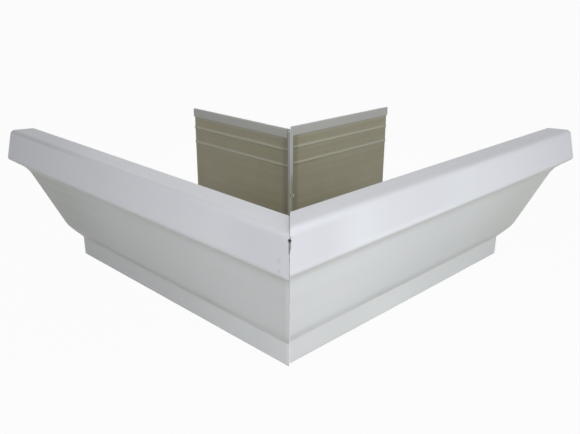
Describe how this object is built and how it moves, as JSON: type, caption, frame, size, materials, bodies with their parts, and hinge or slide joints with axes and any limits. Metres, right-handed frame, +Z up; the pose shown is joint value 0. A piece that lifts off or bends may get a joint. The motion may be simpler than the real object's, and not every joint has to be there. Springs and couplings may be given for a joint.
{
  "type": "gutter miter",
  "caption": "Outside corner piece that joins two runs of ogee eaves gutter at a right angle, folded from painted sheet with a clinched mitre seam.",
  "frame": {"origin": "house corner: where the back faces of the two legs meet, at the level of the base", "axes": "+Z up; one leg runs along +X with its back face on the plane y = 0, the other along +Y with its back face on the plane x = 0; the outside corner points to -X -Y"},
  "size_m": [0.2157, 0.2157, 0.0839],
  "materials": {
    "painted_sheet": "smooth white baked paint outside, khaki wash coat in the trough"
  },
  "bodies": {
    "root": {"left_section": "painted_sheet", "right_section": "painted_sheet"}
  },
  "joints": []
}
